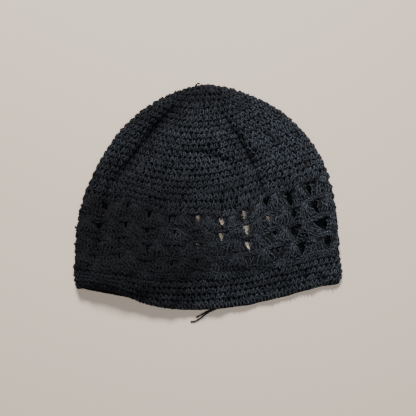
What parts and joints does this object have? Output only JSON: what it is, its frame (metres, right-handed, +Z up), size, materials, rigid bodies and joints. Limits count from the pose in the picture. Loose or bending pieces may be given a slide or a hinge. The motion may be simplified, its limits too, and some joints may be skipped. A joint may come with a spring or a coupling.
{
  "type": "crochet kufi cap",
  "caption": "Brimless crocheted cap lying flat on its side: a closed round crown, an openwork band of stacked fans, a plain band round the mouth and loose yarn ends.",
  "frame": {"origin": "on the floor under the middle of the cap's box, loose yarn left out", "axes": "+X to the right across the flattened cap, +Y towards the crown and away from the mouth, +Z up from the floor it lies on"},
  "size_m": [0.21, 0.1899, 0.0193],
  "materials": {
    "crochet_cotton": "matt blue-black cotton yarn, crocheted",
    "loose_yarn": "matt black cotton yarn, loosely twisted"
  },
  "bodies": {
    "root": {"crown": "crochet_cotton", "lace_band": "crochet_cotton", "hem_band": "crochet_cotton", "yarn_tail_long": "loose_yarn", "yarn_tail_short": "loose_yarn"}
  },
  "joints": []
}
